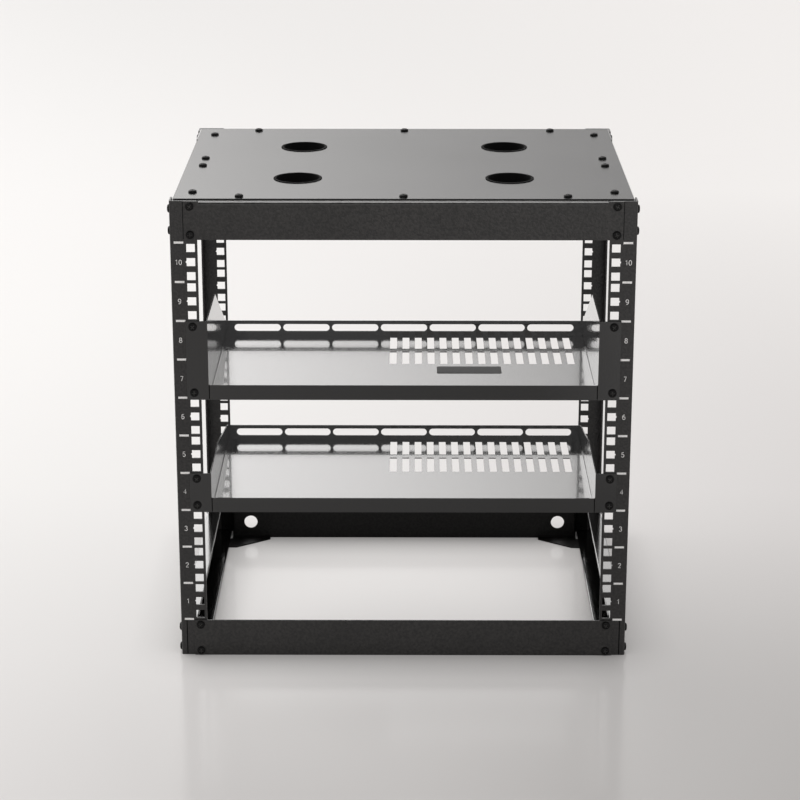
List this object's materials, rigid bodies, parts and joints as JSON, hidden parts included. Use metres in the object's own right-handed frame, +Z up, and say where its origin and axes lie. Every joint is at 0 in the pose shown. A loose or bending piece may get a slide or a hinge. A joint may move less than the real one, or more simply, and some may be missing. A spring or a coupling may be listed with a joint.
{
  "type": "open-frame network rack",
  "caption": "Black open-frame network rack for a table or floor, with square-hole posts, cross bars, side rails, a top plate with cable ports and vented fixed trays.",
  "frame": {"origin": "on the floor, midway between the four posts", "axes": "+Z up, -Y towards the front, +X to the right as seen from the front"},
  "size_m": [0.5158, 0.4073, 0.5379],
  "materials": {
    "frame_paint": "smooth black powder coat, semi-gloss",
    "tray_paint": "smooth black powder coat, glossy",
    "grommet_rubber": "matte black rubber",
    "screw_black": "black oxide",
    "nut_zinc": "zinc plated"
  },
  "bodies": {
    "root": {"front_left_post": "frame_paint", "front_right_post": "frame_paint", "rear_left_post": "frame_paint", "rear_right_post": "frame_paint", "front_top_bar": "frame_paint", "front_bottom_bar": "frame_paint", "rear_top_bar": "frame_paint", "rear_bottom_bar": "frame_paint", "left_top_rail": "frame_paint", "right_top_rail": "frame_paint", "left_bottom_rail": "frame_paint", "right_bottom_rail": "frame_paint", "top_plate": "frame_paint", "port_grommets": "grommet_rubber", "upper_shelf": "tray_paint", "lower_shelf": "tray_paint", "front_bar_screws": "screw_black", "rear_bar_screws": "screw_black", "side_rail_screws": "screw_black", "top_plate_screws": "screw_black", "upper_shelf_screws": "screw_black", "lower_shelf_screws": "screw_black", "upper_shelf_nuts": "nut_zinc", "lower_shelf_nuts": "nut_zinc", "upper_shelf_cages": "nut_zinc", "lower_shelf_cages": "nut_zinc"}
  },
  "joints": []
}
